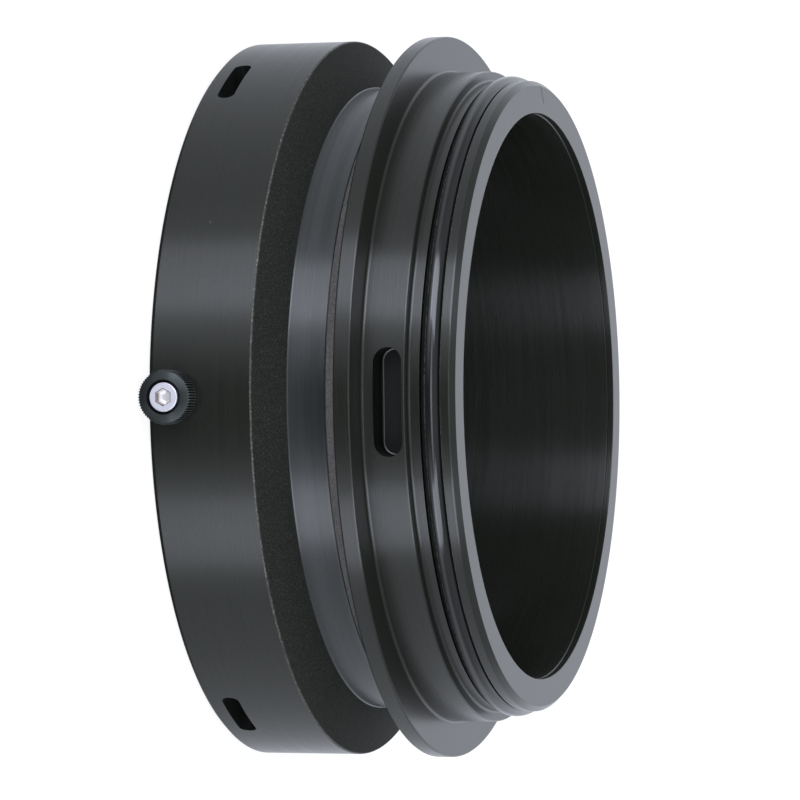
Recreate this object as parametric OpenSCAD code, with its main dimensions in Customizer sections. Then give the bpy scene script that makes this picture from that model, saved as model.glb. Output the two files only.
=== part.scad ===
// Port extension for an underwater camera housing.
// It stands on the open rim of its socket end, with Z up along the lens axis.
// The origin is the centre of that rim, and the thumb screw faces -Y.

/* [Drum] */
// Wall of the drum around the widest part of the socket
drum_wall = 6.05; // [5:0.05:8]
// Height of the drum's straight wall
drum_h = 18.5; // [18:0.5:26]
// Bevel on the drum's outer rim
rim_bevel = 0.8; // [0.2:0.1:1.5]
// Height of the rough cone between drum and neck
shoulder_h = 3.6; // [2:0.2:8]

/* [Neck] */
// Wall of the neck between drum and flange
neck_wall = 5.3; // [4.6:0.1:6.4]
// Height of the neck's straight wall
neck_h = 6.9; // [4:0.1:20]
// Height of the flare under the flange
flare_h = 4.15; // [2:0.05:6]
// Slope of the flare from the axis, in degrees
flare_angle = 45; // [20:1:50]

/* [Flange] */
// Reach of the flange past the guide shoulder
flange_lip = 6.5; // [5:0.1:8]
// Thickness of the flange
flange_t = 3; // [2:0.1:6]
// Bevel on the flange's two edges and on the shoulder above it
edge_bevel = 0.3; // [0.1:0.05:0.6]

/* [Spigot] */
// Step from the nose out to the guide shoulder
guide_step = 1.9; // [1.5:0.1:3]
// Height of the guide shoulder
guide_h = 7.7; // [7.2:0.1:12]
// Wall of the nose that carries the seal
nose_wall = 5.8; // [5:0.1:8]
// Height of the nose above the guide shoulder
nose_h = 8.15; // [7.4:0.05:9]
// Bevel on the nose's outer edge
nose_bevel = 0.9; // [0.3:0.1:1.4]
// Radius left in the two inner corners by the turning tool
corner_r = 0.8; // [0.4:0.1:1.2]
// Distance from the guide shoulder to the seal groove
groove_start = 2.02; // [1.8:0.02:2.4]
// Width of the seal groove
groove_w = 3.6; // [3.4:0.1:4]
// Depth of the seal groove below the nose
groove_depth = 2.1; // [1.9:0.05:2.4]
// Cross-section of the O-ring
ring_section = 3; // [2.6:0.1:3.2]

/* [Bore] */
// Diameter of the bore that the lens barrel passes through
bore_d = 102.2; // [90:0.2:120]
// Distance of the fine tool line from the mouth of the bore
bore_line_depth = 1.15; // [0.8:0.05:3]

/* [Socket] */
// Radial clearance between the socket and a spigot's guide shoulder
guide_clearance = 0.15; // [0.1:0.05:0.3]
// Radial clearance between the socket and a spigot's nose
nose_clearance = 0.2; // [0.1:0.05:0.3]
// Extra depth of the socket behind a seated spigot
seat_gap = 0.3; // [0.1:0.05:0.6]
// Bevel that leads the seal into the socket
seal_lead = 0.8; // [0.3:0.1:1.2]

/* [Pocket] */
// Width of the locking pocket along the axis
pocket_w = 5; // [4.6:0.1:6]
// Length of the locking pocket around the guide shoulder
pocket_l = 18.6; // [12:0.2:24]
// Depth of the pocket's flat floor below the guide shoulder
pocket_depth = 5.5; // [3:0.1:6]
// Distance from the flange to the middle of the pocket
pocket_rise = 4.55; // [4.3:0.05:4.8]
// Turn of the pocket from the thumb screw, in degrees
pocket_turn = 1.1; // [-5:0.1:5]

/* [Slots] */
// Number of slots through the drum's wall, in equal steps from the one opposite the screw
slot_count = 3; // [1:1:3]
// Width of a slot along the axis; its middle is level with the thumb screw
slot_w = 3.1; // [2.8:0.1:5]
// Length of a slot around the drum
slot_l = 13; // [8:0.5:20]
// Corner radius of a slot
slot_corner_r = 1.4; // [0.5:0.1:1.4]

/* [Thumb screw] */
// Height of the screw's axis above the rim
screw_rise = 4.75; // [4.75:0.05:6]
// Gap between the drum and the back of the knob, as it stands backed off
stand_off = 1.55; // [1.3:0.05:3]
// Thread diameter of the screw
thread_d = 2.84; // [2.5:0.02:3]
// Diameter of the screw's head
head_d = 5; // [4.6:0.05:5.1]
// Height of the screw's head
head_h = 2.84; // [2.4:0.02:3]
// Width across flats of the hex socket
hex_flats = 2.38; // [2:0.02:2.6]
// Depth of the hex socket
hex_depth = 1.4; // [1:0.1:1.8]
// Outer diameter of the knurled knob
knob_d = 9.3; // [8.8:0.1:9.3]
// Thickness of the knob
knob_t = 4; // [3.8:0.1:5]
// Number of ridges in the knurl
knurl_count = 60; // [36:2:72]
// Depth of the knurl
knurl_depth = 0.24; // [0.1:0.02:0.3]
// Outer diameter of the washer under the knob
washer_d = 7.2; // [6:0.1:8]
// Thickness of the washer
washer_t = 0.5; // [0.3:0.05:0.8]

/* [Hidden] */

// Smoothness of the round forms in the preview
$fn = 120;
// Steps in the arc of an inner corner
corner_steps = 6;
// Clearance of a screw in the hole that guides it, on the radius
running_gap = 0.08;
// Clearance between pieces that lie face to face or one round another
seat_clearance = 0.02;
// Clearance round the screw's head in the knob
head_gap = 0.25;
// Distance of the screw's tip outside the socket wall, backed off
tip_gap = 0.05;
// Bevels on the screw's tip and head
tip_bevel = 0.3;
head_bevel = 0.25;
// Depth and width of the fine tool line inside the bore
line_depth = 0.12;
line_w = 0.3;
// Size of the mark scribed on the end face, its turn from -X and its slant, in degrees
mark_l = 4.9;
mark_w = 0.2;
mark_depth = 0.12;
mark_turn = 0.5;
mark_slant = 36;
// Front bevel, back bevel and dish of the knob
knob_bevel_w = 0.75;
knob_bevel_h = 0.4;
knob_back_bevel = 0.3;
knob_dish = 0.25;
// Plain land between the foot of the knurl and the knob's bevels
knurl_land = 0.03;
// Overlap of a cut past the face it opens
cut = 1;

// Radii of the outer forms, from the bore out
bore_r = bore_d / 2;
neck_r = bore_r + neck_wall;
nose_r = bore_r + nose_wall;
guide_r = nose_r + guide_step;
flange_r = guide_r + flange_lip;
groove_floor_r = nose_r - groove_depth;

// Heights of the outer forms, from the rim up
shoulder_z = drum_h;
neck_z = shoulder_z + shoulder_h;
flare_z = neck_z + neck_h;
flange_z = flare_z + flare_h;
guide_z = flange_z + flange_t;
nose_z = guide_z + guide_h;
top_z = nose_z + nose_h;
groove_z = nose_z + groove_start;
flare_top_r = neck_r + flare_h * tan(flare_angle);

// The socket takes a spigot like the one at the other end
socket_guide_r = guide_r + guide_clearance;
socket_guide_depth = guide_h + seat_gap;
socket_seal_r = nose_r + nose_clearance;
socket_depth = guide_h + nose_h + seat_gap;
drum_r = socket_guide_r + drum_wall;

// Distances from the axis along the thumb screw
knob_back = drum_r + stand_off;
knob_face = knob_back + knob_t;
head_seat = knob_face - seat_clearance - head_h;
washer_face = knob_back - seat_clearance;
screw_tip = socket_guide_r + tip_gap;
thread_r = thread_d / 2;
knob_r = knob_d / 2;
head_pocket_r = head_d / 2 + head_gap;

// Quarter of a circle from angle a0 to a1 round c
function arc(c, r, a0, a1) = [
    for (i = [0 : corner_steps])
        c + r * [cos(a0 + (a1 - a0) * i / corner_steps), sin(a0 + (a1 - a0) * i / corner_steps)]
];

// Outside of the body from the rim to the mouth of the bore, as [radius, height]
function outside() = concat(
    [
        [drum_r - rim_bevel, 0],
        [drum_r, rim_bevel],
        [drum_r, shoulder_z],
        [neck_r, neck_z],
        [neck_r, flare_z],
        [flare_top_r, flange_z],
        [flange_r - edge_bevel, flange_z],
        [flange_r, flange_z + edge_bevel],
        [flange_r, guide_z - edge_bevel],
        [flange_r - edge_bevel, guide_z]
    ],
    arc([guide_r + corner_r, guide_z + corner_r], corner_r, 270, 180),
    [
        [guide_r, nose_z - edge_bevel],
        [guide_r - edge_bevel, nose_z]
    ],
    arc([nose_r + corner_r, nose_z + corner_r], corner_r, 270, 180),
    [
        [nose_r, groove_z],
        [groove_floor_r, groove_z],
        [groove_floor_r, groove_z + groove_w],
        [nose_r, groove_z + groove_w],
        [nose_r, top_z - nose_bevel],
        [nose_r - nose_bevel, top_z]
    ]
);

// Inside of the body from the mouth of the bore down to the rim
function inside() = [
    [bore_r, top_z],
    [bore_r, top_z - bore_line_depth + line_w / 2],
    [bore_r + line_depth, top_z - bore_line_depth],
    [bore_r, top_z - bore_line_depth - line_w / 2],
    [bore_r, socket_depth],
    [socket_seal_r, socket_depth],
    [socket_seal_r, socket_guide_depth + seal_lead],
    [socket_seal_r + seal_lead, socket_guide_depth],
    [socket_guide_r, socket_guide_depth],
    [socket_guide_r, 0]
];

// Stands a shape drawn in X and Z at a distance from the axis, and grows it towards -Y
module outwards(from, to) {
    rotate([90, 0, 0])
        translate([0, 0, from])
            linear_extrude(to - from)
                children();
}

// Round bar along the thumb screw's axis, between two distances from the main axis
module screw_bar(r, from, to) {
    translate([0, 0, screw_rise])
        rotate([90, 0, 0])
            translate([0, 0, from])
                cylinder(r = r, h = to - from);
}

// Turned piece on the thumb screw's axis, from a profile of [radius, distance from the main axis]
module screw_turned(profile) {
    translate([0, 0, screw_rise])
        rotate([90, 0, 0])
            rotate_extrude()
                polygon(profile);
}

// Rectangle with round corners
module round_slot(l, w, r) {
    square([l - 2 * r, w], center = true);
    square([l, w - 2 * r], center = true);
    for (x = [-1, 1], y = [-1, 1])
        translate([x * (l / 2 - r), y * (w / 2 - r)])
            circle(r = r, $fn = 48);
}

// Long hole with full round ends
module long_hole(l, w) {
    square([l - w, w], center = true);
    for (x = [-1, 1])
        translate([x * (l - w) / 2, 0])
            circle(d = w, $fn = 60);
}

module drum_slots() {
    for (i = [0 : slot_count - 1])
        rotate([0, 0, 180 + i * 360 / slot_count])
            outwards(socket_seal_r, drum_r + cut)
                translate([0, screw_rise])
                    round_slot(slot_l, slot_w, slot_corner_r);
}

module lock_pocket() {
    rotate([0, 0, pocket_turn])
        outwards(guide_r - pocket_depth, guide_r + cut)
            translate([0, guide_z + pocket_rise])
                long_hole(pocket_l, pocket_w);
}

module witness_mark() {
    rotate([0, 0, mark_turn])
        translate([-nose_r, 0, top_z - mark_depth])
            rotate([0, 0, mark_slant])
                translate([-cut, -mark_w / 2, 0])
                    cube([mark_l + cut, mark_w, mark_depth + cut]);
}

module port_body() {
    color([0.11, 0.115, 0.125])
        difference() {
            rotate_extrude()
                polygon(concat(outside(), inside()));
            drum_slots();
            lock_pocket();
            witness_mark();
            screw_bar(thread_r + running_gap, socket_seal_r, drum_r + cut);
        }
}

module main_o_ring() {
    ring_r = groove_floor_r + seat_clearance + ring_section / 2;
    color([0.03, 0.03, 0.03])
        translate([0, 0, groove_z + groove_w / 2])
            rotate_extrude()
                translate([ring_r, 0])
                    circle(d = ring_section, $fn = 48);
}

// Outline of the knurl, a ridge and a valley by turns
module knurl_outline() {
    step = 360 / knurl_count;
    polygon([
        for (i = [0 : knurl_count - 1], k = [0, 1])
            let (r = knob_r - k * knurl_depth, a = (i + k / 2) * step)
                r * [cos(a), sin(a)]
    ]);
}

module thumb_knob() {
    core_r = knob_r - knurl_depth - knurl_land;
    color([0.13, 0.13, 0.14])
        difference() {
            union() {
                screw_turned([
                    [0, knob_back],
                    [core_r - knob_back_bevel, knob_back],
                    [core_r, knob_back + knob_back_bevel],
                    [core_r, knob_face - knob_bevel_h],
                    [knob_r - knob_bevel_w, knob_face],
                    [head_pocket_r, knob_face - knob_dish],
                    [0, knob_face - knob_dish]
                ]);
                outwards(knob_back + knob_back_bevel, knob_face - knob_bevel_h)
                    translate([0, screw_rise])
                        knurl_outline();
            }
            screw_bar(head_pocket_r, head_seat, knob_face + cut);
            screw_bar(thread_r + seat_clearance, knob_back - cut, knob_face);
        }
}

module cap_screw() {
    head_r = head_d / 2;
    head_top = head_seat + head_h;
    color([0.82, 0.82, 0.83])
        difference() {
            screw_turned([
                [0, screw_tip],
                [thread_r - tip_bevel, screw_tip],
                [thread_r, screw_tip + tip_bevel],
                [thread_r, head_seat],
                [head_r, head_seat],
                [head_r, head_top - head_bevel],
                [head_r - head_bevel, head_top],
                [0, head_top]
            ]);
            outwards(head_top - hex_depth, head_top + cut)
                translate([0, screw_rise])
                    circle(d = hex_flats / cos(30), $fn = 6);
        }
}

module thumb_washer() {
    color([0.06, 0.06, 0.06])
        difference() {
            screw_bar(washer_d / 2, washer_face - washer_t, washer_face);
            screw_bar(thread_r + running_gap, washer_face - washer_t - cut, washer_face + cut);
        }
}

port_body();
main_o_ring();
thumb_knob();
cap_screw();
thumb_washer();
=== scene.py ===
"""Looks of a short port extension for an underwater camera housing.

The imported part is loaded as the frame. The turned body, the seal, the knurled
thumb knob, its cap screw and the washer are modelled again with fine edges,
and each stands for the CAD piece of the same place. Lengths in the settings
are in metres. Z runs along the lens axis and the thumb screw faces -Y.
"""

import math

import bmesh
import bpy
from mathutils import Matrix, Vector


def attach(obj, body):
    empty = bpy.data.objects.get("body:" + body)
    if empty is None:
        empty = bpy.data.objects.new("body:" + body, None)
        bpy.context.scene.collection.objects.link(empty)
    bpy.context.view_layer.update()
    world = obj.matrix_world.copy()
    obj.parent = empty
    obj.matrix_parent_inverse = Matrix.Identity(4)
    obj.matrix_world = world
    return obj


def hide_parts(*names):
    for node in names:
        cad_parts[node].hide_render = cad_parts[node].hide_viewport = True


bl_info = {
    "name": "Housing port extension",
    "version": (1, 0, 0),
    "blender": (4, 5, 0),
    "location": "View3D > Sidebar > Port Extension",
    "description": "Models a turned port extension with its seal and thumb screw",
    "category": "Add Mesh",
}

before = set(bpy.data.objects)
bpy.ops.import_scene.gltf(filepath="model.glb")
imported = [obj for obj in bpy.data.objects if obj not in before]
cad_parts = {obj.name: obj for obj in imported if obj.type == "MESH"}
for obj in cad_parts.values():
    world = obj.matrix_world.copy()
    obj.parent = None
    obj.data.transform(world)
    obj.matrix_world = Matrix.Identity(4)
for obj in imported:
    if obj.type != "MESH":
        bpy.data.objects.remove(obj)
bpy.ops.object.select_all(action="DESELECT")
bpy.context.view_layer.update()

MM = 0.001
WHITE = (1.0, 1.0, 1.0, 1.0)
BODY_SEGMENTS = 360
SEAL_SEGMENTS = 40
KNOB_SEGMENTS_PER_RIDGE = 4
SCREW_SEGMENTS = 96
WASHER_SEGMENTS = 120

# Heights along the lens axis and radii of the turned body, in mm
RIM_BEVEL = 0.8
DRUM_TOP = 18.5
NECK_BOTTOM = 22.1
FLARE_BOTTOM = 29.0
FLANGE_BOTTOM = 33.15
FLANGE_TOP = 36.15
GUIDE_TOP = 43.85
GROOVE_BOTTOM = 45.87
GROOVE_TOP = 49.47
END_FACE = 52.0
SOCKET_GUIDE_TOP = 8.0
SOCKET_TOP = 16.15
DRUM_R = 65.0
NECK_R = 56.4
FLARE_R = 60.55
FLANGE_R = 65.3
GUIDE_R = 58.8
NOSE_R = 56.9
GROOVE_R = 54.8
BORE_R = 51.1
SOCKET_GUIDE_R = 58.95
SOCKET_SEAL_R = 57.1
SCREW_RISE = 4.75
SCREW_HOLE_R = 1.5
SLOT_ANGLES = (180, 300, 60)
SLOT_LENGTH = 13.0
SLOT_WIDTH = 3.1
SLOT_CORNER = 1.4
POCKET_LENGTH = 18.6
POCKET_WIDTH = 5.0
POCKET_FLOOR = 53.3
POCKET_RISE = 40.7
POCKET_TURN = 1.1
POCKET_FILLET = 0.5
CUTTER_MARK_R = 0.55
CUTTER_MARK_DEPTH = 0.04
WITNESS_LENGTH = 4.9
WITNESS_WIDTH = 0.2
WITNESS_DEPTH = 0.2
WITNESS_SLANT = 36
WITNESS_TURN = 0.5
MOUTH_BEVEL = 0.1
SEAL_SECTION = 3.0
SEAL_FLATTENING = 1.09
SEAL_CLEARANCE = 0.02

# The thumb screw: places along its axis are distances from the lens axis
KNOB_R = 4.65
KNOB_BACK = 66.55
KNOB_FACE = 70.55
HEAD_POCKET_R = 2.75
HEAD_POCKET_DEPTH = 2.86
KNOB_HOLE_R = 1.44
SCREW_TIP = 59.0
HEAD_SEAT = 67.69
HEAD_TOP = 70.53
HEAD_R = 2.5
SHANK_R = 1.42
HEX_FLATS = 2.5
HEX_DEPTH = 1.4
WASHER_R = 3.6
WASHER_HOLE_R = 1.5
WASHER_THICKNESS = 0.5


# Shape tools


def deselect():
    if bpy.context.mode != "OBJECT":
        bpy.ops.object.mode_set(mode="OBJECT")
    bpy.ops.object.select_all(action="DESELECT")


def edit(piece):
    deselect()
    piece.select_set(True)
    bpy.context.view_layer.objects.active = piece
    bpy.ops.object.mode_set(mode="EDIT")


def settle(piece):
    """Puts the piece's object at the origin, with its place in its mesh."""
    deselect()
    piece.select_set(True)
    bpy.context.view_layer.objects.active = piece
    bpy.ops.object.transform_apply(location=True, rotation=True, scale=True)


def pick(piece, part, test):
    """Selects the vertices, edges or faces of a piece in edit mode that pass a test."""
    bpy.ops.mesh.select_all(action="DESELECT")
    bpy.ops.mesh.select_mode(type={"verts": "VERT", "edges": "EDGE", "faces": "FACE"}[part])
    shape = bmesh.from_edit_mesh(piece.data)
    chosen = [element for element in getattr(shape, part) if test(element)]
    for element in chosen:
        element.select_set(True)
    shape.select_flush_mode()
    bmesh.update_edit_mesh(piece.data)


def eased(outline, steps=4, support=0.03):
    """Rounds the corners of a closed outline of (radius, height, easing), in mm.

    Each eased corner gets a plain strip on both sides, so that the flat faces
    next to it keep their own shading.
    """
    points = []
    for i, (r, z, ease) in enumerate(outline):
        before, after = outline[i - 1], outline[(i + 1) % len(outline)]
        if not ease:
            points.append((r, z))
            continue
        to_before = (before[0] - r, before[1] - z)
        to_after = (after[0] - r, after[1] - z)
        reach_before, reach_after = math.hypot(*to_before), math.hypot(*to_after)
        u = (to_before[0] / reach_before, to_before[1] / reach_before)
        v = (to_after[0] / reach_after, to_after[1] / reach_after)
        turn = math.pi - math.acos(max(-1, min(1, u[0] * v[0] + u[1] * v[1])))
        cut = ease * math.tan(turn / 2)
        middle = (u[0] + v[0], u[1] + v[1])
        length = math.hypot(*middle)
        centre_reach = ease / math.cos(turn / 2)
        centre = (
            r + middle[0] / length * centre_reach,
            z + middle[1] / length * centre_reach,
        )
        start = (r + u[0] * cut, z + u[1] * cut)
        end = (r + v[0] * cut, z + v[1] * cut)
        a0 = math.atan2(start[1] - centre[1], start[0] - centre[0])
        a1 = math.atan2(end[1] - centre[1], end[0] - centre[0])
        sweep = (a1 - a0 + math.pi) % (2 * math.pi) - math.pi
        count = steps if ease < 0.5 else 2 * steps
        points.append((start[0] + u[0] * support, start[1] + u[1] * support))
        points += [
            (
                centre[0] + ease * math.cos(a0 + sweep * k / count),
                centre[1] + ease * math.sin(a0 + sweep * k / count),
            )
            for k in range(count + 1)
        ]
        points.append((end[0] + v[0] * support, end[1] + v[1] * support))
    return points


def turned(name, outline, segments, closed=True):
    """Turns a closed outline of (radius, height), in mm, round the Z axis."""
    (r, z), rest = outline[0], outline[1:]
    bpy.ops.mesh.primitive_circle_add(
        vertices=segments, radius=r * MM, location=(0, 0, z * MM)
    )
    piece = bpy.context.object
    piece.name = piece.data.name = name
    settle(piece)
    edit(piece)
    bpy.ops.mesh.select_all(action="SELECT")
    for next_r, next_z in rest + ([outline[0]] if closed else []):
        bpy.ops.mesh.extrude_edges_move(
            TRANSFORM_OT_translate={"value": (0, 0, (next_z - z) * MM)}
        )
        grow = next_r / r
        bpy.ops.transform.resize(
            value=(grow, grow, 1), center_override=(0, 0, next_z * MM)
        )
        r, z = next_r, next_z
    if not closed:
        bpy.ops.mesh.edge_face_add()
        pick(piece, "edges", lambda e: e.is_boundary)
        bpy.ops.mesh.edge_face_add()
    bpy.ops.mesh.select_all(action="SELECT")
    bpy.ops.mesh.remove_doubles(threshold=0.002 * MM)
    bpy.ops.mesh.normals_make_consistent(inside=False)
    deselect()
    return piece


def on_screw_axis(piece):
    """Lays a piece turned round Z on the thumb screw's axis, facing -Y."""
    piece.rotation_euler = (math.radians(90), 0, 0)
    piece.location = (0, 0, SCREW_RISE * MM)
    settle(piece)


def cut(piece, tool):
    """Takes the tool's shape out of the piece."""
    deselect()
    piece.select_set(True)
    bpy.context.view_layer.objects.active = piece
    change = piece.modifiers.new("Cut", "BOOLEAN")
    change.object = tool
    change.operation = "DIFFERENCE"
    change.solver = "EXACT"
    bpy.ops.object.modifier_apply(modifier=change.name)
    bpy.data.objects.remove(tool)


def smooth(piece, angle=25):
    deselect()
    piece.select_set(True)
    bpy.context.view_layer.objects.active = piece
    bpy.ops.object.shade_smooth_by_angle(angle=math.radians(angle))


def block(name, length, depth, width, corner):
    """A bar along Y with rounded long edges, in mm, that cuts a slot."""
    bpy.ops.mesh.primitive_cube_add(size=MM)
    piece = bpy.context.object
    piece.name = name
    edit(piece)
    bpy.ops.mesh.select_all(action="SELECT")
    bpy.ops.transform.resize(value=(length, depth, width), center_override=(0, 0, 0))
    pick(piece, "edges", lambda e: abs(e.verts[0].co.y - e.verts[1].co.y) > depth * MM / 2)
    bpy.ops.mesh.bevel(offset=corner * MM, segments=12, affect="EDGES")
    return piece


def join(pieces):
    deselect()
    for piece in pieces:
        piece.select_set(True)
    bpy.context.view_layer.objects.active = pieces[0]
    bpy.ops.object.join()
    return bpy.context.object


# Materials


class Nodes:
    """Adds nodes to a tree and links them by the names of their sockets."""

    def __init__(self, tree):
        self.tree = tree

    def add(self, kind, place=(0, 0), **values):
        node = self.tree.nodes.new(kind)
        node.location = place
        for name, value in values.items():
            setattr(node, name, value)
        return node

    def feed(self, socket, source):
        """Gives a socket a constant or another node's output."""
        if isinstance(source, bpy.types.NodeSocket):
            self.tree.links.new(source, socket)
        else:
            socket.default_value = source

    def maths(self, operation, *sources):
        node = self.add("ShaderNodeMath", operation=operation)
        for socket, source in zip(node.inputs, sources):
            self.feed(socket, source)
        return node.outputs[0]

    def mix(self, share, first, second):
        node = self.add("ShaderNodeMix", data_type="RGBA")
        colour_in = [s for s in node.inputs if s.type == "RGBA"]
        self.feed(node.inputs[0], share)
        self.feed(colour_in[0], first)
        self.feed(colour_in[1], second)
        return next(s for s in node.outputs if s.type == "RGBA")

    def span(self, value, low, high, to_low=0.0, to_high=1.0):
        node = self.add("ShaderNodeMapRange", clamp=True)
        for socket, source in zip(node.inputs, (value, low, high, to_low, to_high)):
            self.feed(socket, source)
        return node.outputs[0]


def group(name, inputs, outputs):
    """A new shader node group with float inputs and outputs."""
    tree = bpy.data.node_groups.new(name, "ShaderNodeTree")
    for label, default in inputs:
        socket = tree.interface.new_socket(label, in_out="INPUT", socket_type="NodeSocketFloat")
        socket.default_value = default
    for label in outputs:
        tree.interface.new_socket(label, in_out="OUTPUT", socket_type="NodeSocketFloat")
    nodes = Nodes(tree)
    return nodes, nodes.add("NodeGroupInput", (-900, 0)), nodes.add("NodeGroupOutput", (900, 0))


def turning_marks_group():
    """Fine rings that the lathe leaves round the Z axis, with slow streaks along them."""
    nodes, given, out = group(
        "Turning marks", [("Pitch", 0.0003), ("Streak", 3.0)], ["Rings", "Bands"]
    )
    place = nodes.add("ShaderNodeTexCoord")
    parts = nodes.add("ShaderNodeSeparateXYZ")
    nodes.feed(parts.inputs[0], place.outputs["Object"])
    x, y, z = parts.outputs
    radius = nodes.maths(
        "SQRT", nodes.maths("ADD", nodes.maths("MULTIPLY", x, x), nodes.maths("MULTIPLY", y, y))
    )
    along = nodes.maths("ADD", nodes.maths("MULTIPLY", radius, 1.37), z)
    steps = nodes.maths("DIVIDE", along, given.outputs["Pitch"])
    ring = nodes.add("ShaderNodeCombineXYZ")
    nodes.feed(ring.inputs[0], steps)
    turn_x = nodes.maths("DIVIDE", x, radius)
    turn_y = nodes.maths("DIVIDE", y, radius)
    nodes.feed(ring.inputs[1], nodes.maths("MULTIPLY", turn_x, given.outputs["Streak"]))
    nodes.feed(ring.inputs[2], nodes.maths("MULTIPLY", turn_y, given.outputs["Streak"]))
    fine = nodes.add("ShaderNodeTexNoise")
    nodes.feed(fine.inputs["Vector"], ring.outputs[0])
    nodes.feed(fine.inputs["Scale"], 1.0)
    nodes.feed(fine.inputs["Detail"], 3.0)
    nodes.feed(out.inputs["Rings"], fine.outputs[0])
    wide = nodes.add("ShaderNodeTexNoise")
    slow = nodes.add("ShaderNodeVectorMath", operation="MULTIPLY")
    nodes.feed(slow.inputs[0], ring.outputs[0])
    nodes.feed(slow.inputs[1], (0.22, 0.6, 0.6))
    nodes.feed(wide.inputs["Vector"], slow.outputs[0])
    nodes.feed(wide.inputs["Scale"], 1.0)
    nodes.feed(wide.inputs["Detail"], 1.0)
    nodes.feed(out.inputs["Bands"], wide.outputs[0])
    return nodes.tree


def specks_group():
    """Sparse bright specks: dust on the plastic, and painted glints on rough faces."""
    nodes, given, out = group("Specks", [("Scale", 900.0), ("Amount", 0.02)], ["Mask"])
    place = nodes.add("ShaderNodeTexCoord")
    cells = nodes.add("ShaderNodeTexVoronoi", feature="F1")
    nodes.feed(cells.inputs["Vector"], place.outputs["Object"])
    nodes.feed(cells.inputs["Scale"], given.outputs["Scale"])
    tint = nodes.add("ShaderNodeSeparateColor")
    nodes.feed(tint.inputs[0], cells.outputs["Color"])
    few = nodes.maths("LESS_THAN", tint.outputs[0], given.outputs["Amount"])
    small = nodes.span(cells.outputs["Distance"], 0.16, 0.3, 1.0, 0.0)
    fade = nodes.span(tint.outputs[1], 0.0, 1.0, 0.25, 1.0)
    mask = nodes.maths("MULTIPLY", nodes.maths("MULTIPLY", few, small), fade)
    nodes.feed(out.inputs["Mask"], mask)
    return nodes.tree


class Finish:
    """One material: a Principled BSDF with the shared groups feeding it."""

    def __init__(self, name, colour, roughness, metallic=0.0):
        self.material = bpy.data.materials.new(name)
        self.material.use_nodes = True
        self.nodes = Nodes(self.material.node_tree)
        self.shader = self.material.node_tree.nodes["Principled BSDF"]
        self.colour = (*colour, 1.0)
        self.nodes.feed(self.shader.inputs["Base Color"], self.colour)
        self.nodes.feed(self.shader.inputs["Roughness"], roughness)
        self.nodes.feed(self.shader.inputs["Metallic"], metallic)

    def grooves(self, amount, axis):
        """Stretches the reflections across the lathe's rings."""
        self.nodes.feed(self.shader.inputs["Anisotropic"], amount)
        self.nodes.feed(self.shader.inputs["Anisotropic Rotation"], 0.25)
        tangent = self.nodes.add("ShaderNodeTangent", (-300, -500))
        tangent.direction_type = "RADIAL"
        tangent.axis = axis
        self.nodes.feed(self.shader.inputs["Tangent"], tangent.outputs[0])

    def use(self, tree, **values):
        node = self.nodes.add("ShaderNodeGroup", (-700, 0))
        node.node_tree = tree
        for name, value in values.items():
            self.nodes.feed(node.inputs[name], value)
        return node

    def bump(self, height, strength, distance):
        node = self.nodes.add("ShaderNodeBump", (-250, -300))
        self.nodes.feed(node.inputs["Strength"], strength)
        self.nodes.feed(node.inputs["Distance"], distance)
        self.nodes.feed(node.inputs["Height"], height)
        if self.shader.inputs["Normal"].is_linked:
            earlier = self.shader.inputs["Normal"].links[0].from_socket
            self.nodes.feed(node.inputs["Normal"], earlier)
        self.nodes.feed(self.shader.inputs["Normal"], node.outputs[0])

    def vary_roughness(self, mask, low, high):
        self.nodes.feed(self.shader.inputs["Roughness"], self.nodes.span(mask, 0.3, 0.7, low, high))

    def vary_colour(self, mask, other):
        """Mixes another colour over the base colour, or over what already varies it."""
        base = self.shader.inputs["Base Color"]
        under = base.links[0].from_socket if base.is_linked else self.colour
        self.nodes.feed(base, self.nodes.mix(mask, under, (*other, 1.0)))


def noise(finish, scale, detail=2.0, stretch=(1, 1, 1)):
    """Noise on Object coordinates for one finish."""
    nodes = finish.nodes
    place = nodes.add("ShaderNodeTexCoord", (-1100, -200))
    turn = nodes.add("ShaderNodeMapping", (-900, -200))
    nodes.feed(turn.inputs["Vector"], place.outputs["Object"])
    nodes.feed(turn.inputs["Scale"], stretch)
    grain = nodes.add("ShaderNodeTexNoise", (-700, -200))
    nodes.feed(grain.inputs["Vector"], turn.outputs[0])
    nodes.feed(grain.inputs["Scale"], scale)
    nodes.feed(grain.inputs["Detail"], detail)
    return grain.outputs[0]


def turned_black(look, marks, specks):
    finish = Finish("Turned black plastic", look.body_colour, 0.27)
    finish.grooves(0.9, "Z")
    lathe = finish.use(marks, Pitch=0.00022, Streak=2.5)
    finish.bump(lathe.outputs["Rings"], look.mark_strength, 0.00002)
    finish.vary_roughness(lathe.outputs["Bands"], 0.25, 0.29)
    dust = finish.use(specks, Scale=1500.0, Amount=0.0008)
    finish.vary_colour(dust.outputs["Mask"], (0.12, 0.12, 0.12))
    return finish.material


def faced_black(look, marks):
    finish = Finish("Faced black plastic", look.body_colour, 0.3)
    lathe = finish.use(marks, Pitch=0.0003, Streak=2.0)
    finish.bump(lathe.outputs["Rings"], look.mark_strength * 0.5, 0.00002)
    return finish.material


def scored_black(look, marks):
    finish = Finish("Scored black neck", (0.021, 0.0245, 0.0235), 0.3)
    finish.nodes.feed(finish.shader.inputs["Specular IOR Level"], 0.68)
    finish.grooves(0.85, "Z")
    lathe = finish.use(marks, Pitch=0.0005, Streak=0.7)
    finish.bump(lathe.outputs["Rings"], look.mark_strength * 0.4, 0.00004)
    finish.vary_roughness(lathe.outputs["Bands"], 0.24, 0.34)
    streak = finish.nodes.span(lathe.outputs["Rings"], 0.35, 0.65)
    finish.vary_colour(streak, (0.012, 0.014, 0.013))
    return finish.material


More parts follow.
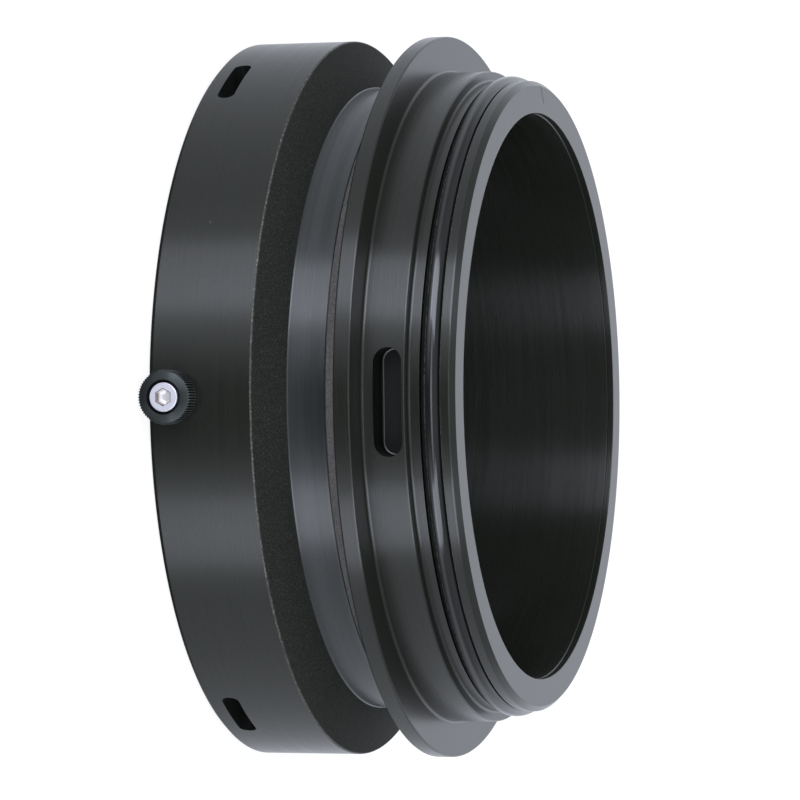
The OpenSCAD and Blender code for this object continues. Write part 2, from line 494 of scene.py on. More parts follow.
def rough_black(specks):
    finish = Finish("Rough black shoulder", (0.003, 0.0037, 0.0025), 0.85)
    finish.nodes.feed(finish.shader.inputs["Specular IOR Level"], 0.35)
    grain = noise(finish, 4200.0, 2.0)
    finish.bump(grain, 0.8, 0.0001)
    mottle = finish.nodes.span(grain, 0.42, 0.68)
    finish.vary_colour(mottle, (0.025, 0.026, 0.018))
    # painted glints: bright specks in the colour that stand in for sparkles of light on the rough
    # face
    glints = finish.use(specks, Scale=2600.0, Amount=0.1)
    finish.vary_colour(glints.outputs["Mask"], (0.1, 0.095, 0.085))
    return finish.material


# Frosted grain on the flare; its light grey colour also paints in the light that the downward
# facing flare catches from the pale floor.
def frosted_flare_painted_light():
    finish = Finish("Frosted black flare", (0.06, 0.057, 0.054), 0.6)
    grain = noise(finish, 3300.0, 3.0)
    finish.bump(grain, 0.6, 0.00008)
    finish.vary_colour(finish.nodes.span(grain, 0.36, 0.64), (0.2, 0.19, 0.18))
    return finish.material


def milled_black():
    finish = Finish("Milled black plastic", (0.008, 0.0092, 0.0078), 0.3)
    finish.bump(noise(finish, 700.0, 2.0, (4, 1, 0.4)), 0.2, 0.00004)
    return finish.material


def pocket_painted_shade():
    """Walls of the pocket, with the shade of their own mouth painted into a near-black colour and
    dimmed reflections.
    """
    finish = Finish("Dark pocket wall", (0.003, 0.0033, 0.0027), 0.5)
    finish.nodes.feed(finish.shader.inputs["Specular IOR Level"], 0.06)
    finish.bump(noise(finish, 900.0, 2.0, (1, 3, 1)), 0.3, 0.00004)
    return finish.material


def worn_edge_painted_glints():
    """Edges with bright flecks: partly wear where the tool broke the plastic, partly painted glints
    that stand in for light along the edge.
    """
    finish = Finish("Worn black edge", (0.02, 0.018, 0.014), 0.5)
    grain = noise(finish, 3600.0, 1.0)
    finish.vary_colour(finish.nodes.span(grain, 0.52, 0.7), (0.15, 0.13, 0.11))
    finish.bump(grain, 0.5, 0.00005)
    return finish.material


def seal_black():
    finish = Finish("Greased black rubber", (0.008, 0.0085, 0.008), 0.13)
    finish.bump(noise(finish, 500.0, 2.0), 0.05, 0.00005)
    return finish.material


def dusty_seal():
    finish = Finish("Dusty rubber line", (0.008, 0.0085, 0.008), 0.3)
    grain = noise(finish, 2600.0, 1.0)
    finish.vary_colour(finish.nodes.span(grain, 0.45, 0.62), (0.05, 0.047, 0.043))
    return finish.material


def anodised():
    finish = Finish("Black anodised knob", (0.06, 0.068, 0.067), 0.33, 0.9)
    finish.grooves(0.98, "Y")
    return finish.material


# The knurl's ridges: a lighter copy of the anodised finish, painted light on the ridges' sides.
def knurled():
    return Finish("Black anodised knurl", (0.17, 0.18, 0.175), 0.35, 0.9).material


# Painted shade in the knurl's grooves and in the head pocket round the screw.
def knob_painted_shade():
    finish = Finish("Dark knurl groove", (0.004, 0.004, 0.005), 0.9)
    finish.nodes.feed(finish.shader.inputs["Specular IOR Level"], 0.05)
    return finish.material


def stainless():
    return Finish("Stainless steel", (0.88, 0.865, 0.93), 0.5, 1.0).material


# Dark brownish steel: painted shade on the socket's bevel and on its walls that face up.
def socket_painted_shade():
    return Finish("Stainless steel socket", (0.3, 0.25, 0.21), 0.3, 1.0).material


# Pale, half-metallic steel: painted light on the socket's floor and its other walls.
def socket_painted_light():
    return Finish("Stainless steel socket floor", (0.82, 0.8, 0.8), 0.45, 0.4).material


def washer_black():
    return Finish("Matt black washer", (0.012, 0.012, 0.012), 0.6).material


def paint(piece, finishes, choose):
    """Gives each face the finish that choose(centre, normal) names, the centre in mm."""
    names = list(finishes)
    for material in finishes.values():
        piece.data.materials.append(material)
    for face in piece.data.polygons:
        face.material_index = names.index(choose(face.center / MM, face.normal))


# Pieces


class PortSettings(bpy.types.PropertyGroup):
    body_colour: bpy.props.FloatVectorProperty(
        name="Body colour",
        description="Colour of the black plastic",
        subtype="COLOR",
        size=3,
        min=0.0,
        max=1.0,
        default=(0.009, 0.0098, 0.0068),
    )
    mark_strength: bpy.props.FloatProperty(
        name="Turning marks",
        description="Strength of the fine rings left by the lathe",
        subtype="FACTOR",
        min=0.0,
        max=1.0,
        default=0.35,
    )
    edge_round: bpy.props.FloatProperty(
        name="Edge rounding",
        description="Radius of the body's turned edges",
        subtype="DISTANCE",
        unit="LENGTH",
        min=0.00002,
        max=0.0002,
        default=0.0001,
    )
    ridge_count: bpy.props.IntProperty(
        name="Knurl ridges",
        description="Number of ridges round the thumb knob",
        min=24,
        max=90,
        default=60,
    )
    ridge_depth: bpy.props.FloatProperty(
        name="Knurl depth",
        description="Depth of the grooves between the ridges",
        subtype="DISTANCE",
        unit="LENGTH",
        min=0.00005,
        max=0.0003,
        default=0.00024,
    )


# Easings of the body's turned corners, and depths of its small turned steps
DRUM_TOP_EASE = 0.3
NECK_EASE = 0.35
FLANGE_EASE = 0.3
FLANGE_FOOT_EASE = 0.5
GUIDE_EASE = 0.3
NOSE_FOOT_EASE = 0.45
GROOVE_FLOOR_EASE = 0.15
GROOVE_EDGE_EASE = 0.06
NOSE_EDGE_EASE = 0.5
SOCKET_EASE = 0.1
STEP_EASE = 0.02
STEP = 0.15
NOSE_BEVEL = 0.9
BORE_LINE_DEPTH = 0.12
SOCKET_BEVEL = 0.8


def body_outline(e):
    """Closed outline of the turned body as (radius, height, easing), in mm.

    Points without an easing on the drum and the guide bound the strips that
    hold the slots and the pocket.
    """
    return [
        (SOCKET_GUIDE_R, 0, e),
        (DRUM_R - RIM_BEVEL, 0, e),
        (DRUM_R, RIM_BEVEL, e),
        (DRUM_R, SCREW_RISE - SLOT_WIDTH / 2 - 0.3, 0),
        (DRUM_R, SCREW_RISE + SLOT_WIDTH / 2 + 0.3, 0),
        (DRUM_R, DRUM_TOP, DRUM_TOP_EASE),
        (NECK_R, NECK_BOTTOM, NECK_EASE),
        (NECK_R, FLARE_BOTTOM - 0.2, STEP_EASE),
        (NECK_R - STEP, FLARE_BOTTOM - 0.05, STEP_EASE),
        (NECK_R + 0.1, FLARE_BOTTOM + 0.1, STEP_EASE),
        (FLARE_R - STEP, FLANGE_BOTTOM - STEP, STEP_EASE),
        (FLARE_R - 0.05, FLANGE_BOTTOM + STEP, STEP_EASE),
        (FLARE_R + 0.2, FLANGE_BOTTOM, STEP_EASE),
        (FLANGE_R, FLANGE_BOTTOM, FLANGE_EASE),
        (FLANGE_R, FLANGE_TOP, FLANGE_EASE),
        (GUIDE_R, FLANGE_TOP, FLANGE_FOOT_EASE),
        (GUIDE_R, POCKET_RISE - POCKET_WIDTH / 2 - 0.3, 0),
        (GUIDE_R, POCKET_RISE + POCKET_WIDTH / 2 + 0.22, 0),
        (GUIDE_R, GUIDE_TOP, GUIDE_EASE),
        (NOSE_R, GUIDE_TOP, NOSE_FOOT_EASE),
        (NOSE_R, GROOVE_BOTTOM, GROOVE_EDGE_EASE),
        (GROOVE_R, GROOVE_BOTTOM, GROOVE_FLOOR_EASE),
        (GROOVE_R, GROOVE_TOP, GROOVE_FLOOR_EASE),
        (NOSE_R, GROOVE_TOP, GROOVE_EDGE_EASE),
        (NOSE_R, END_FACE - NOSE_BEVEL, NOSE_EDGE_EASE),
        (NOSE_R - NOSE_BEVEL, END_FACE, e),
        (BORE_R, END_FACE, e),
        (BORE_R, END_FACE - 1.0, 0),
        (BORE_R + BORE_LINE_DEPTH, END_FACE - 1.15, 0),
        (BORE_R, END_FACE - 1.3, 0),
        (BORE_R, SOCKET_TOP, e),
        (SOCKET_SEAL_R, SOCKET_TOP, SOCKET_EASE),
        (SOCKET_SEAL_R, SOCKET_GUIDE_TOP + SOCKET_BEVEL, e),
        (SOCKET_SEAL_R + SOCKET_BEVEL, SOCKET_GUIDE_TOP, e),
        (SOCKET_GUIDE_R, SOCKET_GUIDE_TOP, SOCKET_EASE),
    ]


# Depth of the bars that cut slots and pocket, and a share just short of the whole
BAR_DEPTH = 12.0
NEARLY = 0.999


def turn_round(piece, degrees):
    """Turns a piece round the lens axis."""
    piece.rotation_euler.z = math.radians(degrees)
    settle(piece)


def shift(piece, *place):
    """Moves a piece to a place in mm."""
    piece.location = [length * MM for length in place]
    settle(piece)


def pocket_tool():
    """Long hole with round ends and a small fillet round its floor."""
    round_end = POCKET_WIDTH / 2 * NEARLY
    tool = block("pocket tool", POCKET_LENGTH, BAR_DEPTH, POCKET_WIDTH, round_end)
    floor = BAR_DEPTH / 2 * NEARLY * MM
    pick(tool, "edges", lambda e: all(v.co.y > floor for v in e.verts))
    bpy.ops.mesh.bevel(offset=POCKET_FILLET * MM, segments=6, affect="EDGES")
    shift(tool, 0, -(POCKET_FLOOR + BAR_DEPTH / 2), POCKET_RISE)
    turn_round(tool, POCKET_TURN)
    return tool


def slot_tools():
    tools = []
    for angle in SLOT_ANGLES:
        tool = block("slot tool", SLOT_LENGTH, BAR_DEPTH, SLOT_WIDTH, SLOT_CORNER)
        shift(tool, 0, -(SOCKET_SEAL_R + BAR_DEPTH / 2), SCREW_RISE)
        turn_round(tool, angle)
        tools.append(tool)
    return tools


def rod(radius, depth, place, segments):
    """A round bar along Y, in mm."""
    bpy.ops.mesh.primitive_cylinder_add(
        vertices=segments,
        radius=radius * MM,
        depth=depth * MM,
        location=[length * MM for length in place],
        rotation=(math.radians(90), 0, 0),
    )
    piece = bpy.context.object
    settle(piece)
    return piece


def screw_hole_tool():
    depth = 10.0
    return rod(SCREW_HOLE_R, depth, (0, -(DRUM_R - depth / 4), SCREW_RISE), 64)


def cutter_mark_tool():
    """A shallow round mark that the cutter left on the pocket's floor."""
    depth, along, above = 0.3, 2.4, 0.3
    reach = POCKET_FLOOR + depth / 2 - CUTTER_MARK_DEPTH
    tool = rod(CUTTER_MARK_R, depth, (along, -reach, POCKET_RISE + above), 32)
    turn_round(tool, POCKET_TURN)
    return tool


def witness_mark_tool():
    """A fine slanting line on the end face that starts at the nose's edge."""
    overhang = 1.0
    bpy.ops.mesh.primitive_cube_add(size=MM)
    tool = bpy.context.object
    edit(tool)
    bpy.ops.mesh.select_all(action="SELECT")
    size = (WITNESS_LENGTH + overhang, WITNESS_WIDTH, 2 * WITNESS_DEPTH)
    bpy.ops.transform.resize(value=size, center_override=(0, 0, 0))
    deselect()
    shift(tool, (WITNESS_LENGTH - overhang) / 2, 0, 0)
    turn_round(tool, WITNESS_SLANT)
    shift(tool, -NOSE_R, 0, END_FACE)
    turn_round(tool, WITNESS_TURN)
    return tool


def edge_angle(edge):
    return edge.calc_face_angle(0) if len(edge.link_faces) == 2 else 0


def on_mouth(vertex):
    """Tells whether a vertex is on the mouth of the pocket, a slot or the screw hole."""
    place = vertex.co / MM
    r = math.hypot(place.x, place.y)
    near_pocket = place.y < 0 and abs(place.z - POCKET_RISE) < POCKET_WIDTH / 2 + 0.3
    near_slot = abs(place.z - SCREW_RISE) < SLOT_WIDTH / 2 + 0.2
    return (abs(r - GUIDE_R) < 0.05 and near_pocket) or (abs(r - DRUM_R) < 0.05 and near_slot)


def ease_cut_edges(body):
    """Bevels the mouths of the cuts, where they meet the turned faces."""

    def mouth(edge):
        sharp = edge_angle(edge) > math.radians(35)
        return sharp and all(on_mouth(vertex) for vertex in edge.verts)

    edit(body)
    pick(body, "edges", mouth)
    bpy.ops.mesh.bevel(
        offset=MOUTH_BEVEL * MM, segments=1, affect="EDGES", clamp_overlap=True
    )
    deselect()


def body_region(centre, normal):
    """Names the finish of a face of the body by its place and direction."""
    r = math.hypot(centre.x, centre.y)
    outwards = (centre.x * normal.x + centre.y * normal.y) / r
    around = abs(centre.x * normal.y - centre.y * normal.x) / r
    outer = r > NECK_R and outwards > 0
    if outer and DRUM_TOP + 0.13 < centre.z < NECK_BOTTOM:
        return "shoulder"
    if outer and FLARE_BOTTOM < centre.z < FLANGE_BOTTOM:
        return "flare"
    if NECK_BOTTOM <= centre.z <= FLARE_BOTTOM and r > NECK_R - 1:
        return "neck"
    # the drum's top edge and the groove's edge get bright flecks: partly wear, partly painted
    # glints
    drum_edge = abs(centre.z - DRUM_TOP) < 0.24 and r > DRUM_R - 0.4
    groove_edge = abs(centre.z - GROOVE_TOP) < 0.09 and abs(r - NOSE_R + 0.055) < 0.065
    if drum_edge or groove_edge:
        return "edge wear and painted glints"
    beside_pocket = abs(centre.z - POCKET_RISE) < POCKET_WIDTH / 2 + 0.3
    in_pocket = beside_pocket and centre.y < 0 and BORE_R + 0.2 < r < GUIDE_R - 0.1
    beside_slot = abs(centre.z - SCREW_RISE) < SLOT_WIDTH / 2 + 0.7
    in_slot = beside_slot and SOCKET_GUIDE_R + 0.05 < r < DRUM_R - 0.02
    # the pocket's walls get painted shade
    if in_pocket and POCKET_FLOOR + 0.4 < r < GUIDE_R - 0.15 and abs(outwards) < 0.5:
        return "pocket wall"
    if around > 0.05 or in_pocket or in_slot:
        return "milled"
    return "faced" if abs(normal.z) > 0.9 else "turned"


class PORT_OT_turned_body(bpy.types.Operator):
    """Turns the body, cuts its slots, pocket and screw hole, and gives it its finishes"""

    bl_idname = "port_extension.turned_body"
    bl_label = "Turned Body"

    def execute(self, context):
        look = context.scene.port_extension
        outline = eased(body_outline(look.edge_round / MM))
        body = turned("turned_body", outline, BODY_SEGMENTS)
        tools = slot_tools() + [pocket_tool(), cutter_mark_tool(), screw_hole_tool()]
        cut(body, join([*tools, witness_mark_tool()]))
        ease_cut_edges(body)
        smooth(body)
        even = body.modifiers.new("Even shading", "WEIGHTED_NORMAL")
        even.keep_sharp = True
        bpy.ops.object.modifier_apply(modifier=even.name)

        marks, specks = turning_marks_group(), specks_group()
        finishes = {
            "turned": turned_black(look, marks, specks),
            "shoulder": rough_black(specks),
            "flare": frosted_flare_painted_light(),
            "neck": scored_black(look, marks),
            "milled": milled_black(),
            "faced": faced_black(look, marks),
            "edge wear and painted glints": worn_edge_painted_glints(),
            "pocket wall": pocket_painted_shade(),
        }
        paint(body, finishes, body_region)
        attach(body, "port")
        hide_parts("port_body")
        return {"FINISHED"}


class PORT_OT_seal(bpy.types.Operator):
    """Lays the O-ring in its groove"""

    bl_idname = "port_extension.seal"
    bl_label = "Seal"

    def execute(self, context):
        middle = (GROOVE_BOTTOM + GROOVE_TOP) / 2
        centre_r = GROOVE_R + SEAL_CLEARANCE + SEAL_SECTION / 2
        bpy.ops.mesh.primitive_torus_add(
            major_segments=BODY_SEGMENTS,
            minor_segments=SEAL_SEGMENTS,
            major_radius=centre_r * MM,
            minor_radius=SEAL_SECTION / 2 * MM,
            location=(0, 0, middle * MM),
        )
        ring = bpy.context.object
        ring.name = ring.data.name = "seal_ring"
        settle(ring)
        edit(ring)
        bpy.ops.mesh.select_all(action="SELECT")
        bpy.ops.transform.resize(
            value=(1, 1, SEAL_FLATTENING), center_override=(0, 0, middle * MM)
        )
        deselect()
        smooth(ring, 60)

        def region(centre, normal):
            out = math.hypot(centre.x, centre.y) - centre_r
            slant = math.degrees(math.atan2(centre.z - middle, out))
            return "dusty line" if -32 < slant < -23 else "rubber"

        paint(ring, {"rubber": seal_black(), "dusty line": dusty_seal()}, region)
        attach(ring, "port")
        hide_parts("main_o_ring")
        return {"FINISHED"}


def in_valley(segments, phases):
    """A test for the vertices of the knob's rim at some steps of each ridge."""

    def test(vertex):
        if vertex.co.xy.length < (KNOB_R - 0.01) * MM:
            return False
        turn = math.atan2(vertex.co.y, vertex.co.x) % (2 * math.pi)
        step = round(turn / (2 * math.pi) * segments)
        return step % KNOB_SEGMENTS_PER_RIDGE in phases

    return test


class PORT_OT_thumb_knob(bpy.types.Operator):
    """Turns the thumb knob and presses its straight knurl"""

    bl_idname = "port_extension.thumb_knob"
    bl_label = "Thumb Knob"

    def execute(self, context):
        look = context.scene.port_extension
        depth = look.ridge_depth / MM
        valley_r = KNOB_R - depth
        back_ring, front_ring = KNOB_BACK + 0.3, KNOB_FACE - 0.5
        outline = [
            (KNOB_HOLE_R, KNOB_BACK),
            (KNOB_R - 0.62, KNOB_BACK),
            (valley_r - 0.04, back_ring - 0.02),
            (KNOB_R, back_ring),
            (KNOB_R, front_ring),
            (valley_r - 0.04, KNOB_FACE - 0.36),
            (valley_r - 0.1, KNOB_FACE - 0.345),
            (HEAD_POCKET_R + 0.3, KNOB_FACE),
            (HEAD_POCKET_R + 0.24, KNOB_FACE - 0.008),
            (HEAD_POCKET_R + 0.1, KNOB_FACE - 0.12),
            (HEAD_POCKET_R + 0.04, KNOB_FACE - 0.16),
            (HEAD_POCKET_R, KNOB_FACE - 0.32),
            (HEAD_POCKET_R, KNOB_FACE - HEAD_POCKET_DEPTH),
            (KNOB_HOLE_R, KNOB_FACE - HEAD_POCKET_DEPTH),
        ]
        segments = KNOB_SEGMENTS_PER_RIDGE * look.ridge_count
        knob = turned("thumb_knob_turned", outline, segments)
        edit(knob)
        for share, phases in ((1.0, (2,)), (0.5, (1, 3))):
            pick(knob, "verts", in_valley(segments, phases))
            shrink = 1 - depth * share / KNOB_R
            bpy.ops.transform.resize(value=(shrink, shrink, 1), center_override=(0, 0, 0))
        deselect()
        on_screw_axis(knob)
        smooth(knob, 25)

        def region(centre, normal):
            r = math.hypot(centre.x, centre.z - SCREW_RISE)
            # the head pocket gets painted shade
            if r < HEAD_POCKET_R + 0.22:
                return "dark"
            if r < valley_r - 0.02 or not back_ring < -centre.y < front_ring + 0.1:
                return "face"
            step = math.atan2(centre.z - SCREW_RISE, centre.x) / (2 * math.pi) * segments
            # the knurl's grooves get painted shade, the ridges a lit copy of the anodised finish
            if 1 < step % KNOB_SEGMENTS_PER_RIDGE < 3:
                return "dark"
            return "face" if -centre.y > front_ring else "ridge"

        paint(knob, {"face": anodised(), "ridge": knurled(), "dark": knob_painted_shade()}, region)
        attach(knob, "thumb_screw")
        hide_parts("thumb_knob")
        return {"FINISHED"}


def hex_tool():
    """A hexagonal bar with a shallow cone at its end, that cuts the hex socket."""
    depth = 3.0
    bpy.ops.mesh.primitive_cylinder_add(
        vertices=6,
        radius=HEX_FLATS / 2 / math.cos(math.radians(30)) * MM,
        depth=depth * MM,
        location=(0, 0, (HEAD_TOP - HEX_DEPTH + depth / 2) * MM),
        rotation=(0, 0, math.radians(30)),
    )
    tool = bpy.context.object
    settle(tool)
    edit(tool)
    pick(tool, "faces", lambda f: f.normal.z < -0.9)
    bpy.ops.mesh.inset(thickness=0.2 * MM)
    bpy.ops.mesh.inset(thickness=0.4 * MM, depth=0.25 * MM)
    deselect()
    return tool


class PORT_OT_cap_screw(bpy.types.Operator):
    """Turns the cap screw and cuts its hex socket"""

    bl_idname = "port_extension.cap_screw"
    bl_label = "Cap Screw"

    def execute(self, context):
        axis_r, bevel, ease = 0.02, 0.12, 0.06
        outline = eased(
            [
                (axis_r, SCREW_TIP, 0),
                (SHANK_R - 0.3, SCREW_TIP, 0.05),
                (SHANK_R, SCREW_TIP + 0.3, 0.05),
                (SHANK_R, HEAD_SEAT, 0.05),
                (HEAD_R, HEAD_SEAT, 0.05),
                (HEAD_R, HEAD_TOP - bevel, ease),
                (HEAD_R - bevel, HEAD_TOP, ease),
                (axis_r, HEAD_TOP, 0),
            ]
        )
        screw = turned("cap_screw_turned", outline, SCREW_SEGMENTS, closed=False)
        cut(screw, hex_tool())
        edit(screw)

        def hex_mouth(edge):
            return all(
                v.co.z > (HEAD_TOP - 0.01) * MM and v.co.xy.length < 1.6 * MM for v in edge.verts
            )

        pick(screw, "edges", hex_mouth)
        bpy.ops.mesh.bevel(offset=bevel * MM, segments=1, affect="EDGES")
        deselect()
        on_screw_axis(screw)
        smooth(screw, 30)

        def region(centre, normal):
            r = math.hypot(centre.x, centre.z - SCREW_RISE)
            if r > 1.56 or -centre.y < HEAD_SEAT + 0.1:
                return "steel"
            # the socket's bevel and upward facing walls get painted shade, the rest of the socket
            # painted light
            slope = abs(normal.y)
            on_bevel = 0.1 < slope < 0.9 and -centre.y > HEAD_TOP - 0.2
            shaded_wall = normal.z > 0.5 and slope < 0.1
            return "socket" if on_bevel or shaded_wall else "socket floor"

        finishes = {"steel": stainless(), "socket": socket_painted_shade(), "socket floor": socket_painted_light()}
        paint(screw, finishes, region)
        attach(screw, "thumb_screw")
        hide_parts("cap_screw")
        return {"FINISHED"}


class PORT_OT_washer(bpy.types.Operator):
    """Turns the washer behind the knob"""

    bl_idname = "port_extension.washer"
    bl_label = "Washer"

    def execute(self, context):
        face, ease = KNOB_BACK - 0.02, 0.06
        back = face - WASHER_THICKNESS
        outline = eased(
            [
                (WASHER_HOLE_R, back, 0),
                (WASHER_R, back, ease),
                (WASHER_R, face, ease),
                (WASHER_HOLE_R, face, 0),
            ]
        )
        washer = turned("washer_turned", outline, WASHER_SEGMENTS)
        on_screw_axis(washer)
        smooth(washer)
        paint(washer, {"washer": washer_black()}, lambda centre, normal: "washer")
        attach(washer, "washer")
        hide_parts("thumb_washer")
        return {"FINISHED"}


# Stage

# The light tent's walls below and above the horizon: angle from the camera's
# side, in degrees, and level there
TENT_LOW = [
    (-180, 0.8),
    (-140, 0.75),
    (-118, 0.85),
    (-100, 0.95),
    (-64, 0.95),
    (-44, 1.9),
    (-30, 1.3),
    (-16, 0.25),
    (-6, 0.03),
    (4, 0.03),
    (14, 0.7),
    (30, 2.0),
    (46, 1.2),
    (68, 0.9),
    (100, 0.98),
    (118, 0.92),
    (140, 0.8),
    (180, 0.8),
]
TENT_HIGH = [
    (-180, 1.33),
    (-140, 0.9),
    (-110, 0.4),
    (-30, 0.4),
    (-12, 0.03),
    (10, 0.03),
    (24, 0.4),
    (110, 0.4),
    (140, 0.9),
    (180, 1.33),
]
TENT_LIGHT = [
    (-180, 1.0),
    (-140, 0.8),
    (-110, 0.4),
    (-60, 0.4),
    (-36, 0.8),
    (-18, 2.0),
    (0, 3.0),
    (18, 2.0),
    (36, 0.8),
    (60, 0.4),
    (110, 0.4),
    (140, 0.8),
    (180, 1.0),
]
TENT_TOP = 0.45
TENT_FLOOR = 0.1
TENT_TINT = (0.94, 0.99, 1.09)

# Where one part of the tent passes into the next, as the sine of the angle
# above the horizon, and for the wall's foot also the shares of its level there
HORIZON = (-0.03, 0.14)
LIGHT_FOOT = (0.2, 0.27)
CEILING = (0.46, 0.56)
UNDERSIDE = (-0.65, -0.42)
WALL_FOOT = (-0.345, -0.3, 0.7, 1.15)

# Name, angle from the camera's side and level of each softbox
SOFTBOXES = (("left softbox", 37, 5.3), ("right softbox", -41, 3.9))
SOFTBOX_RISE = 19
SOFTBOX_SIZE = (0.5, 1.36)
SOFTBOX_REACH = 1.2
SOFTBOX_COLOUR = (0.9, 0.94, 1.08)

FLOOR_SIZE = 6.0
FLOOR_DROP = 0.2
CARD_R = 50.5
CARD_RISE = 0.3
CAMERA_PLACE = (0.000485, -0.797352, 0.270217)
CAMERA_TILT = 17.095
CAMERA_ROLL = 89.479
CAMERA_WALK = 0.3
CAMERA_LENS = 205.7
CAMERA_SENSOR = 36.0


def grey(level):
    return (*(level * tint for tint in TENT_TINT), 1.0)


def wall(nodes, turn, levels):
    """The level of the tent's wall at a turn of 0 to 1, from its list of angles."""
    ramp = nodes.add("ShaderNodeValToRGB")
    ramp.color_ramp.interpolation = "LINEAR"
    stops = ramp.color_ramp.elements
    while len(stops) > 1:
        stops.remove(stops[-1])
    top = max(level for _, level in levels)
    for i, (angle, level) in enumerate(levels):
        share = (angle + 180) / 360
        stop = stops[0] if i == 0 else stops.new(share)
        stop.position = share
        stop.color = (level / top,) * 3 + (1.0,)
    nodes.feed(ramp.inputs[0], turn)
    grow = nodes.add("ShaderNodeVectorMath", operation="MULTIPLY")
    nodes.feed(grow.inputs[0], ramp.outputs[0])
    nodes.feed(grow.inputs[1], tuple(top * tint for tint in TENT_TINT))
    return grow.outputs[0]


def tent_world():
    world = bpy.data.worlds.new("Light tent")
    bpy.context.scene.world = world
    world.use_nodes = True
    nodes = Nodes(world.node_tree)
    background = world.node_tree.nodes["Background"]
    place = nodes.add("ShaderNodeTexCoord", (-1100, 0))
    parts = nodes.add("ShaderNodeSeparateXYZ", (-900, 0))
    nodes.feed(parts.inputs[0], place.outputs["Generated"])
    across = nodes.maths("MULTIPLY", parts.outputs[0], -1.0)
    ahead = nodes.maths("MULTIPLY", parts.outputs[1], -1.0)
    turn = nodes.span(nodes.maths("ARCTAN2", across, ahead), -math.pi, math.pi)
    up = parts.outputs[2]
    low, high = wall(nodes, turn, TENT_LOW), wall(nodes, turn, TENT_HIGH)
    tent = nodes.mix(nodes.span(up, *HORIZON), low, high)
    tent = nodes.mix(nodes.span(up, *LIGHT_FOOT), tent, wall(nodes, turn, TENT_LIGHT))
    tent = nodes.mix(nodes.span(up, *CEILING), tent, grey(TENT_TOP))
    tent = nodes.mix(nodes.span(up, *UNDERSIDE), grey(TENT_FLOOR), tent)
    foot = nodes.add("ShaderNodeVectorMath", operation="SCALE")
    nodes.feed(foot.inputs[0], tent)
    nodes.feed(foot.inputs["Scale"], nodes.span(up, *WALL_FOOT))
    path = nodes.add("ShaderNodeLightPath", (-400, 300))
    seen = nodes.mix(path.outputs["Is Camera Ray"], foot.outputs[0], WHITE)
    nodes.feed(background.inputs["Color"], seen)
    nodes.feed(background.inputs["Strength"], 1.0)


def floor_material():
    """White floor that takes shadows and reads as plain white to the camera."""
    pale, dim, glow = (0.8,) * 3, (0.25,) * 3, 0.86
    finish = Finish("White floor", pale, 0.9)
    nodes, shader = finish.nodes, finish.shader
    nodes.feed(shader.inputs["Specular IOR Level"], 0.0)
    path = nodes.add("ShaderNodeLightPath", (-500, 200))
    mirrored = nodes.maths(
        "ADD", path.outputs["Is Glossy Ray"], path.outputs["Is Transmission Ray"]
    )
    seen = nodes.maths("ADD", path.outputs["Is Camera Ray"], mirrored)
    seen = nodes.maths("MINIMUM", seen, 1.0)
    finish.vary_colour(seen, dim)
    nodes.feed(shader.inputs["Emission Color"], WHITE)
    nodes.feed(shader.inputs["Emission Strength"], nodes.maths("MULTIPLY", seen, glow))
    return finish.material


def card_material():
    finish = Finish("Black card", (0.01, 0.01, 0.01), 0.9)
    finish.nodes.feed(finish.shader.inputs["Specular IOR Level"], 0.1)
    return finish.material


def lay_floor():
    bpy.ops.mesh.primitive_plane_add(size=FLOOR_SIZE, location=(0, 0, -FLOOR_DROP * MM))
    floor = bpy.context.object
    floor.name = "floor"
    floor.data.materials.append(floor_material())
    floor.visible_glossy = False
    return floor


def lay_card():
    """A black card in the bore, unseen by the camera: painted shade that keeps the bore's wall
    dark.
    """
    bpy.ops.mesh.primitive_circle_add(
        vertices=96, radius=CARD_R * MM, fill_type="NGON", location=(0, 0, CARD_RISE * MM)
    )
    card = bpy.context.object
    card.name = "black card in the bore"
    settle(card)
    card.data.materials.append(card_material())
    card.visible_camera = False
    return card


def softbox(name, turn, level):
    """A softbox at an angle from the camera's side, of a given radiance."""
    turn, rise = math.radians(turn), math.radians(SOFTBOX_RISE)
    flat = math.cos(rise)
    place = Vector((-math.sin(turn) * flat, -math.cos(turn) * flat, math.sin(rise)))
    middle = Vector((0, 0, END_FACE / 2 * MM))
    bpy.ops.object.light_add(type="AREA", location=place * SOFTBOX_REACH + middle)
    light = bpy.context.object
    light.name = name
    light.data.shape = "RECTANGLE"
    light.data.size, light.data.size_y = SOFTBOX_SIZE
    light.data.energy = level * math.pi * math.prod(SOFTBOX_SIZE)
    light.data.color = SOFTBOX_COLOUR
    light.rotation_euler = place.to_track_quat("Z", "Y").to_euler()
    return light


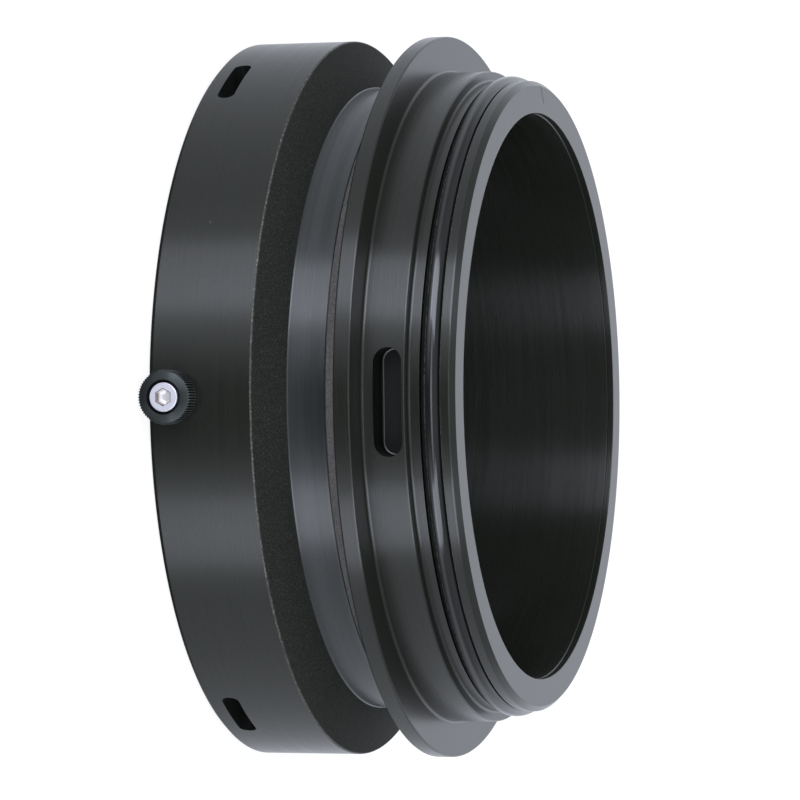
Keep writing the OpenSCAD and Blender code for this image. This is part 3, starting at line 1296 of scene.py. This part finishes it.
def stand_camera():
    bpy.ops.object.camera_add()
    camera = bpy.context.object
    camera.name = "camera"
    walk = Matrix.Rotation(math.radians(CAMERA_WALK), 4, "Z")
    tilt = Matrix.Rotation(math.radians(90 - CAMERA_TILT), 4, "X")
    roll = Matrix.Rotation(math.radians(CAMERA_ROLL), 4, "Z")
    camera.matrix_world = walk @ Matrix.Translation(CAMERA_PLACE) @ tilt @ roll
    camera.data.sensor_width = CAMERA_SENSOR
    camera.data.lens = CAMERA_LENS
    camera.data.clip_start = 0.01
    camera.data.clip_end = 20.0
    return camera


class PORT_OT_stage(bpy.types.Operator):
    """Sets the floor, the light tent, the lamps and the camera"""

    bl_idname = "port_extension.stage"
    bl_label = "Stage"

    def execute(self, context):
        floor = lay_floor()
        tent_world()
        left, right = (softbox(*settings) for settings in SOFTBOXES)
        card = lay_card()
        camera = stand_camera()
        context.scene.camera = camera
        context.scene.view_settings.view_transform = "Standard"
        return {"FINISHED"}


class PORT_PT_panel(bpy.types.Panel):
    """Lists the port extension's settings and pieces"""

    bl_idname = "PORT_PT_panel"
    bl_label = "Port Extension"
    bl_space_type = "VIEW_3D"
    bl_region_type = "UI"
    bl_category = "Port Extension"

    def draw(self, context):
        look = context.scene.port_extension
        for name in ("body_colour", "mark_strength", "edge_round", "ridge_count", "ridge_depth"):
            self.layout.prop(look, name)
        for operator in OPERATORS:
            self.layout.operator(operator.bl_idname)


OPERATORS = (
    PORT_OT_turned_body,
    PORT_OT_seal,
    PORT_OT_thumb_knob,
    PORT_OT_cap_screw,
    PORT_OT_washer,
    PORT_OT_stage,
)
CLASSES = (PortSettings, *OPERATORS, PORT_PT_panel)


def register():
    for cls in CLASSES:
        bpy.utils.register_class(cls)
    bpy.types.Scene.port_extension = bpy.props.PointerProperty(type=PortSettings)


def unregister():
    del bpy.types.Scene.port_extension
    for cls in reversed(CLASSES):
        bpy.utils.unregister_class(cls)


def main():
    register()
    for operator in OPERATORS:
        group_name, action = operator.bl_idname.split(".")
        getattr(getattr(bpy.ops, group_name), action)()
    deselect()


if __name__ == "__main__":
    main()
